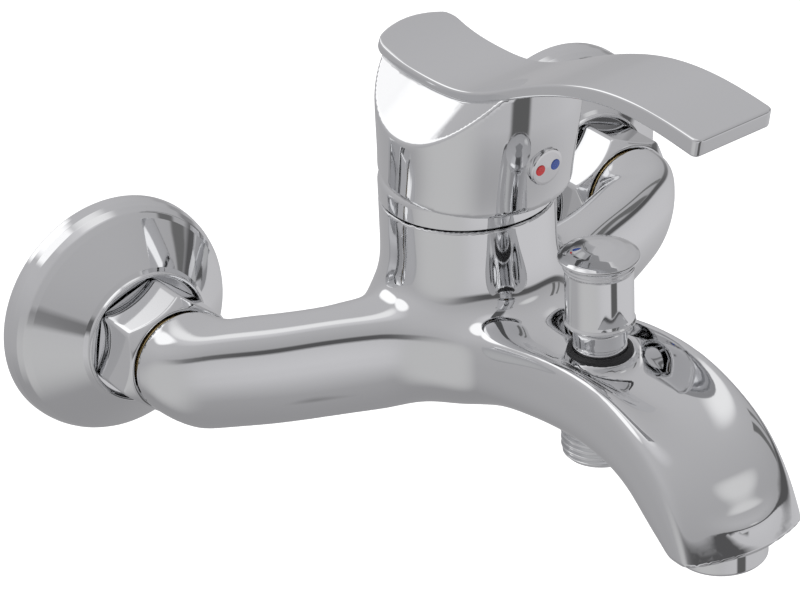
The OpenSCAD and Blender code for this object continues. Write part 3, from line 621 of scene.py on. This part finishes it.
def union_nut(side):
    """Hexagon with cone chamfers that leave round-bottomed scallops, and a stepped mouth at the front."""
    length = NUT_LENGTH
    turn = math.radians(10 * side)
    prof = [[13.3, 0], [14.6, 0]] + [[NUT_HALF_AF, z] for z in np.linspace(0.15, length - 0.15, 46)]
    prof += [[14.3, length], [12.9, length], [12.5, length - 0.4], [12.5, length - 3], [9.7, length - 3],
             [9.7, length - 3.2], [13.3, length - 5], [13.3, 0]]

    def hexagon(r, z, angle):
        a = (angle - turn + math.pi / 6) % (math.pi / 3) - math.pi / 6
        edge = NUT_HALF_AF / np.cos(a)
        front = 14.5 + np.maximum(0, length - z) * 0.95
        rear = smin(17.0, 16.4 + z * 1.2, 0.3)
        full = smin(smin(edge, front, 0.5), rear, 0.35)
        return np.where(np.abs(r - NUT_HALF_AF) < 1e-6, full, r)

    pts, faces, _ = lathe_arrays(prof, 432, hexagon)
    pts, _ = place(pts, None, (side * HALF_SPACING, NUT_FRONT + length, 0), (0, -1, 0))
    piece = mesh_object("nut_" + side_name(side), pts, faces)
    weighted(piece)
    return piece


def eccentric(side):
    """Wall thread, skewed body and union thread of one S connector."""
    x = side * HALF_SPACING
    wall = threaded("wall", HALF_INCH_R, 7.2, 12.7, (x, 14, -7), (0, -1, 0))
    union = threaded("union", THREE_QUARTER_R, 9, 19.4, (x, -7, 0), (0, -1, 0))
    rings, n = [], 64
    for y, r, z in ((-7.5, 12, 0), (-4.5, 12.1, 0), (-0.6, 12.1, 0), (1, 9.3, -7), (2, 9.3, -7)):
        for k in range(n):
            a = 2 * math.pi * k / n
            rings.append((x + r * math.cos(a), y, z + r * math.sin(a)))
    faces = [(i * n + k, i * n + (k + 1) % n, (i + 1) * n + (k + 1) % n, (i + 1) * n + k)
             for i in range(4) for k in range(n)]
    faces += [list(range(n - 1, -1, -1)), [4 * n + k for k in range(n)]]
    body = mesh_object("skew", rings, faces)
    piece = join("eccentric_" + side_name(side), [wall, union, body])
    piece.data.set_sharp_from_angle(angle=math.radians(35))
    return piece


def bonnet():
    arc = [[COLUMN_R - 5.6 * (1 - math.cos(math.radians(t))), 5 + 3.9 * math.sin(math.radians(t))]
           for t in range(0, 73, 4)]
    prof = [[16.9, 0.4], [22.6, 0.4], [23.1, 0.45], [COLUMN_R, 0.9]] + arc + [[16.9, 8.8], [16.9, 0.4]]
    return lathe("bonnet", prof, (0, COLUMN_Y, COLUMN_TOP), (0, 0, 1), 200)


def knob():
    outline = [[7.6, 0.1], [8.4, 0], [9.25, 0.25], [9.35, 0.9], [8.95, 1.5], [8.9, 2.4], [8.9, 15.2],
               [9, 15.6], [9.35, 16], [9.1, 16.4], [9.45, 16.9], [9.2, 17.4], [9.6, 17.9], [10.3, 18.4],
               [10.6, 18.8], [10.45, 19.3], [9.4, 19.9], [7, 20.75], [4, 21.35], [0.01, 21.6]]
    radii = [0, 0.3, 0.4, 0.4, 0.3, 1, 0.4, 0.2, 0.3, 0.15, 0.3, 0.2, 0.5, 0.4, 0.4, 0.4, 4, 6, 8, 0]
    inner = [[0.01, 9.6], [7.6, 9.6], [7.6, 0.1]]
    prof = np.concatenate([np.array(inner), rounded(outline, radii, 6)[1:]])
    return lathe("pull_knob", prof, (0, DIVERTER_Y, 21.4), (0, 0, 1), 160)


def gland():
    prof = [[4.6, 9], [7.3, 9], [7.4, 11.6], [7, 11.9], [7, 15.1], [6.5, 15.4], [6.5, 15.8], [7, 16.1],
            [7, 19.8], [6.6, 20.4], [2.3, 20.4], [2.3, 18.6], [4.6, 18.6], [4.6, 9]]
    return lathe("gland", rounded(prof, 0.15, 3), (0, DIVERTER_Y, 0), (0, 0, 1), 128)


def gland_seal():
    prof = [[7.02, 11.9], [8.4, 11.9], [8.75, 12.9], [8.5, 13.9], [7.8, 14.3], [7.02, 14.2], [7.02, 11.9]]
    return lathe("gland_seal", rounded(prof, 0.4, 4), (0, DIVERTER_Y, 0), (0, 0, 1), 128)


def aerator():
    prof = [[9.25, -13.6], [10.6, -13.6], [10.6, -17.05], [12, -17.1], [12, -23.2], [11.3, -24], [9.9, -24],
            [9.25, -23.4], [9.25, -13.6]]
    return lathe("aerator_ring", rounded(prof, [0, 0.2, 0.1, 0.3, 0.7, 0.6, 0.4, 0.3, 0], 5),
                 (0, AERATOR_Y, 0), (0, 0, 1), 160)


def from_handle(u, v, w):
    """A point of the tilted and turned handle in the part's frame."""
    ct, st = math.cos(TILT), math.sin(TILT)
    dy, dz = v * ct - w * st, v * st + w * ct
    c, s = math.cos(TURN), math.sin(TURN)
    return np.array([u * c - dy * s, COLUMN_Y + u * s + dy * c, PIVOT_Z + dz])


def indicator():
    """The round plate on the front of the hub and its two dots."""
    out = from_handle(0, -1, 0) - from_handle(0, 0, 0)
    face = -(HUB_WIDE_R + HUB_SHIFT) + 0.25
    prof = [[0.01, -2], [5.1, -2], [5.2, 0.35], [4.9, 0.62], [4.3, 0.7], [0.01, 0.85]]
    plate = rounded(prof, [0, 0, 0.25, 0.2, 2, 0], 4)
    disc = lathe("indicator_face", plate, from_handle(0, face, BUTTON_Z), out, 96)
    dots = []
    for sign, name in ((-1, "dot_hot"), (1, "dot_cold")):
        prof = [[0.01, 0.2], [1.45, 0.2], [1.5, 0.86], [1.3, 0.98], [0.01, 1.04]]
        at = from_handle(sign * 2.5, face, BUTTON_Z)
        dots.append(lathe(name, rounded(prof, [0, 0, 0.1, 0.2, 0], 3), at, out, 40))
    return disc, dots


# ---------------------------------------------------------------- materials

def socket(node, name, value):
    node.inputs[name].default_value = value


def finish_material(name, color, metallic=0.0, rough=0.3, rough_vary=0.05, shade_vary=0.04, grain=400.0,
                    bump=0.0, coat=0.0, wavy=False):
    """Shade, roughness and relief from object-space noise; a wavy relief follows the broad noise."""
    mat = bpy.data.materials.new(name)
    mat.use_nodes = True
    nodes, links = mat.node_tree.nodes, mat.node_tree.links
    shader = nodes["Principled BSDF"]
    socket(shader, "Metallic", metallic)
    if coat:
        socket(shader, "Coat Weight", coat)
        socket(shader, "Coat Roughness", 0.05)
    place_at = nodes.new("ShaderNodeTexCoord")
    broad, fine = nodes.new("ShaderNodeTexNoise"), nodes.new("ShaderNodeTexNoise")
    for tex, scale, detail in ((broad, grain / 8, 2.0), (fine, grain, 4.0)):
        socket(tex, "Scale", scale)
        socket(tex, "Detail", detail)
        links.new(place_at.outputs["Object"], tex.inputs["Vector"])
    ramp = nodes.new("ShaderNodeValToRGB")
    dark = tuple(c * (1 - shade_vary) for c in color)
    light = tuple(min(1, c * (1 + shade_vary)) for c in color)
    ramp.color_ramp.elements[0].position, ramp.color_ramp.elements[1].position = 0.3, 0.7
    ramp.color_ramp.elements[0].color, ramp.color_ramp.elements[1].color = (*dark, 1), (*light, 1)
    links.new(broad.outputs["Fac"], ramp.inputs["Fac"])
    links.new(ramp.outputs["Color"], shader.inputs["Base Color"])
    spread = nodes.new("ShaderNodeMapRange")
    socket(spread, "To Min", max(0.01, rough - rough_vary))
    socket(spread, "To Max", rough + rough_vary)
    links.new(fine.outputs["Fac"], spread.inputs["Value"])
    links.new(spread.outputs["Result"], shader.inputs["Roughness"])
    if bump:
        relief = nodes.new("ShaderNodeBump")
        socket(relief, "Strength", bump)
        socket(relief, "Distance", 0.0002)
        links.new((broad if wavy else fine).outputs["Fac"], relief.inputs["Height"])
        links.new(relief.outputs["Normal"], shader.inputs["Normal"])
    return mat


FINISHES = {
    "chrome": finish_material(
        "chrome_plate", (0.80, 0.805, 0.815), 1, 0.045, 0.02, 0.012, 120, 0.02, wavy=True),
    "brass": finish_material(
        "machined_brass", (0.66, 0.50, 0.24), 1, 0.28, 0.08, 0.06, 900, 0.12),
    "rubber": finish_material(
        "black_rubber", (0.022, 0.022, 0.024), 0, 0.55, 0.08, 0.2, 1500, 0.3),
    "ceramic": finish_material(
        "lapped_ceramic", (0.84, 0.83, 0.78), 0, 0.2, 0.05, 0.02, 1500, 0.03, coat=0.2),
    "cartridge_plastic": finish_material(
        "acetal_white", (0.74, 0.74, 0.70), 0, 0.42, 0.06, 0.03, 900, 0.1),
    "rotor_plastic": finish_material(
        "filled_plastic", (0.10, 0.105, 0.115), 0, 0.45, 0.08, 0.15, 1400, 0.2),
    "carrier_plastic": finish_material(
        "blue_plastic", (0.06, 0.14, 0.34), 0, 0.4, 0.06, 0.08, 900, 0.1),
    "valve_plastic": finish_material(
        "valve_plastic", (0.14, 0.26, 0.46), 0, 0.38, 0.06, 0.08, 900, 0.1),
    "aerator_plastic": finish_material(
        "aerator_plastic", (0.72, 0.72, 0.72), 0, 0.35, 0.06, 0.04, 900, 0.08),
    "steel": finish_material(
        "spring_steel", (0.56, 0.56, 0.56), 1, 0.25, 0.06, 0.05, 1200, 0.08),
    "button": finish_material(
        "button_plate", (0.80, 0.80, 0.81), 1, 0.07, 0.03, 0.02, 300, 0.02),
    "red_mark": finish_material(
        "red_enamel", (0.60, 0.012, 0.014), 0, 0.22, 0.05, 0.08, 1500, 0.05, coat=0.6),
    "blue_mark": finish_material(
        "blue_enamel", (0.03, 0.08, 0.36), 0, 0.22, 0.05, 0.08, 1500, 0.05, coat=0.6),
}


def dress(piece, finish):
    piece.data.materials.clear()
    piece.data.materials.append(FINISHES[finish])


# ---------------------------------------------------------------- assembly

def add(piece, body, finish, *nodes):
    """Dress a piece, let it ride on its body and stand for its CAD nodes."""
    dress(piece, finish)
    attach(piece, body)
    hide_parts(*nodes)


def build():
    add(make_body(), "faucet", "chrome", "mixer_body")
    for side in (-1, 1):
        tag = side_name(side)
        add(escutcheon(side), "faucet", "chrome", "escutcheon_" + tag)
        add(union_nut(side), "faucet", "chrome", "union_nut_" + tag)
        add(eccentric(side), "faucet", "chrome", "eccentric_union_" + tag)
    add(bonnet(), "faucet", "chrome", "bonnet_ring")
    add(gland(), "faucet", "chrome", "diverter_gland")
    add(gland_seal(), "faucet", "rubber", "diverter_gland_ring")
    add(aerator(), "faucet", "chrome", "aerator_housing")
    nipple = threaded("shower_thread", HALF_INCH_R, 5.25, 7.6, (0, DIVERTER_Y, -16.5), (0, 0, 1))
    add(nipple, "faucet", "chrome", "shower_nipple")
    add(knob(), "diverter", "chrome", "diverter_knob")
    add(make_hub(), "lever", "chrome", "handle")
    add(make_lever(), "lever", "chrome", "handle")
    disc, dots = indicator()
    add(disc, "lever", "button", "indicator_button")
    add(dots[0], "lever", "red_mark", "hot_dot")
    add(dots[1], "lever", "blue_mark", "cold_dot")
    finishes = {part["node"]: part["material_slot"] for part in frame["record"]["subparts"]}
    for name, node in frame["nodes"].items():
        if name in finishes:
            dress(node, finishes[name])


build()


# ---------------------------------------------------------------- studio

def make_floor():
    """A pale floor below the part; the chrome mirrors the studio round it instead."""
    size, drop = 8000.0, 90
    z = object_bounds()[0][2] / MM - drop
    corners = [(-size, -size, z), (size, -size, z), (size, size, z), (-size, size, z)]
    floor = mesh_object("floor", corners, [(0, 1, 2, 3)])
    mat = finish_material("pale_floor", (0.86, 0.86, 0.86), 0, 0.7, 0.05, 0.01, 6, 0)
    shader = mat.node_tree.nodes["Principled BSDF"]
    socket(shader, "Emission Color", (1, 1, 1, 1))
    socket(shader, "Emission Strength", 0.75)
    socket(shader, "Specular IOR Level", 0.1)
    floor.data.materials.append(mat)
    floor.visible_glossy = False


make_floor()


class Studio:
    """Soft studio by direction: shades over elevation for its two halves, cards and soft boxes."""

    def __init__(self):
        world = bpy.data.worlds.new("studio")
        scene.world = world
        world.use_nodes = True
        self.nodes, self.links = world.node_tree.nodes, world.node_tree.links
        coord = self.nodes.new("ShaderNodeTexCoord")
        self.direction = coord.outputs["Generated"]
        split = self.nodes.new("ShaderNodeSeparateXYZ")
        self.links.new(self.direction, split.inputs[0])
        self.height = split.outputs[2]

    def ramp(self, stops):
        """A shade for each elevation in degrees."""
        node = self.nodes.new("ShaderNodeValToRGB")
        place_at = self.span(self.height, -1, 1)
        elements = node.color_ramp.elements
        while len(elements) < len(stops):
            elements.new(0.5)
        for element, (elevation, shade) in zip(elements, stops):
            element.position = 0.5 + 0.5 * math.sin(math.radians(elevation))
            element.color = (shade, shade * 0.992, shade * 1.015, 1)
        self.links.new(place_at, node.inputs["Fac"])
        return node.outputs["Color"]

    def span(self, value, low, high, smooth=False):
        node = self.nodes.new("ShaderNodeMapRange")
        if smooth:
            node.interpolation_type = "SMOOTHSTEP"
        socket(node, "From Min", low)
        socket(node, "From Max", high)
        self.links.new(value, node.inputs["Value"])
        return node.outputs["Result"]

    def toward(self, azimuth, elevation=0.0):
        """How far each direction points the given way."""
        az, el = math.radians(azimuth), math.radians(elevation)
        node = self.nodes.new("ShaderNodeVectorMath")
        node.operation = "DOT_PRODUCT"
        node.inputs[1].default_value = (math.sin(az) * math.cos(el), -math.cos(az) * math.cos(el),
                                        math.sin(el))
        self.links.new(self.direction, node.inputs[0])
        return node.outputs["Value"]

    def times(self, a, b):
        node = self.nodes.new("ShaderNodeMath")
        node.operation = "MULTIPLY"
        self.links.new(a, node.inputs[0])
        self.links.new(b, node.inputs[1])
        return node.outputs[0]

    def mix(self, factor, under, over):
        node = self.nodes.new("ShaderNodeMix")
        node.data_type = "RGBA"
        self.links.new(factor, node.inputs["Factor"])
        self.links.new(under, node.inputs["A"])
        if isinstance(over, float):
            node.inputs["B"].default_value = (over, over * 0.997, over, 1)
        else:
            self.links.new(over, node.inputs["B"])
        return node.outputs["Result"]

    def card(self, under, azimuth, width, low, high, shade, edge=5.0):
        """An upright card: its middle and width round the horizon, its lowest and highest elevation."""
        az = math.radians(azimuth)
        half, soft = math.radians(width / 2), math.radians(edge)
        across = self.nodes.new("ShaderNodeVectorMath")
        across.operation = "DOT_PRODUCT"
        across.inputs[1].default_value = (math.cos(az), math.sin(az), 0)
        self.links.new(self.direction, across.inputs[0])
        size = self.nodes.new("ShaderNodeMath")
        size.operation = "ABSOLUTE"
        self.links.new(across.outputs["Value"], size.inputs[0])
        mask = self.span(size.outputs[0], math.sin(half + soft), math.sin(half), True)
        mask = self.times(mask, self.span(self.toward(azimuth), 0.0, 0.15, True))
        for limit, sign in ((low, 1), (high, -1)):
            inner, outer = math.sin(math.radians(limit + sign * edge)), math.sin(math.radians(limit))
            mask = self.times(mask, self.span(self.height, outer, inner, True))
        return self.mix(mask, under, shade)

    def soft_box(self, under, azimuth, elevation, size, edge, strength):
        aim = self.toward(azimuth, elevation)
        mask = self.span(aim, math.cos(math.radians(size + edge)), math.cos(math.radians(size)), True)
        return self.mix(mask, under, strength)

    def light(self, shade):
        """The studio as everything but the camera sees it; the camera sees a plain pale backdrop."""
        path = self.nodes.new("ShaderNodeLightPath")
        seen = self.mix(path.outputs["Is Camera Ray"], shade, 1.0)
        self.links.new(seen, self.nodes["Background"].inputs["Color"])


def make_world():
    studio = Studio()
    back = studio.ramp([(-90, 0.34), (-50, 0.34), (-28, 0.44), (-4, 0.47), (28, 0.55), (58, 0.56),
                        (90, 0.7)])
    front = studio.ramp([(-90, 0.34), (-48, 0.40), (-28, 0.66), (-9, 0.60), (-4, 0.10), (4, 0.10),
                         (9, 0.42), (30, 0.46), (44, 0.48), (62, 0.50), (90, 0.7)])
    shade = studio.mix(studio.span(studio.toward(32), -0.6, 0.7, True), back, front)
    shade = studio.card(shade, 12, 14, -60, -14, 0.12)
    shade = studio.card(shade, 78, 5, 6, 44, 0.16, 2.0)
    shade = studio.card(shade, 92, 3, 6, 40, 0.2, 1.5)
    shade = studio.soft_box(shade, -160, 39, 13, 7, 1.28)
    shade = studio.soft_box(shade, -125, 58, 13, 7, 1.2)
    shade = studio.soft_box(shade, 38, 27, 2, 8, 0.7)
    shade = studio.soft_box(shade, 140, 76, 6, 14, 0.95)
    shade = studio.soft_box(shade, -75, -30, 6, 34, 0.58)
    studio.light(shade)


make_world()
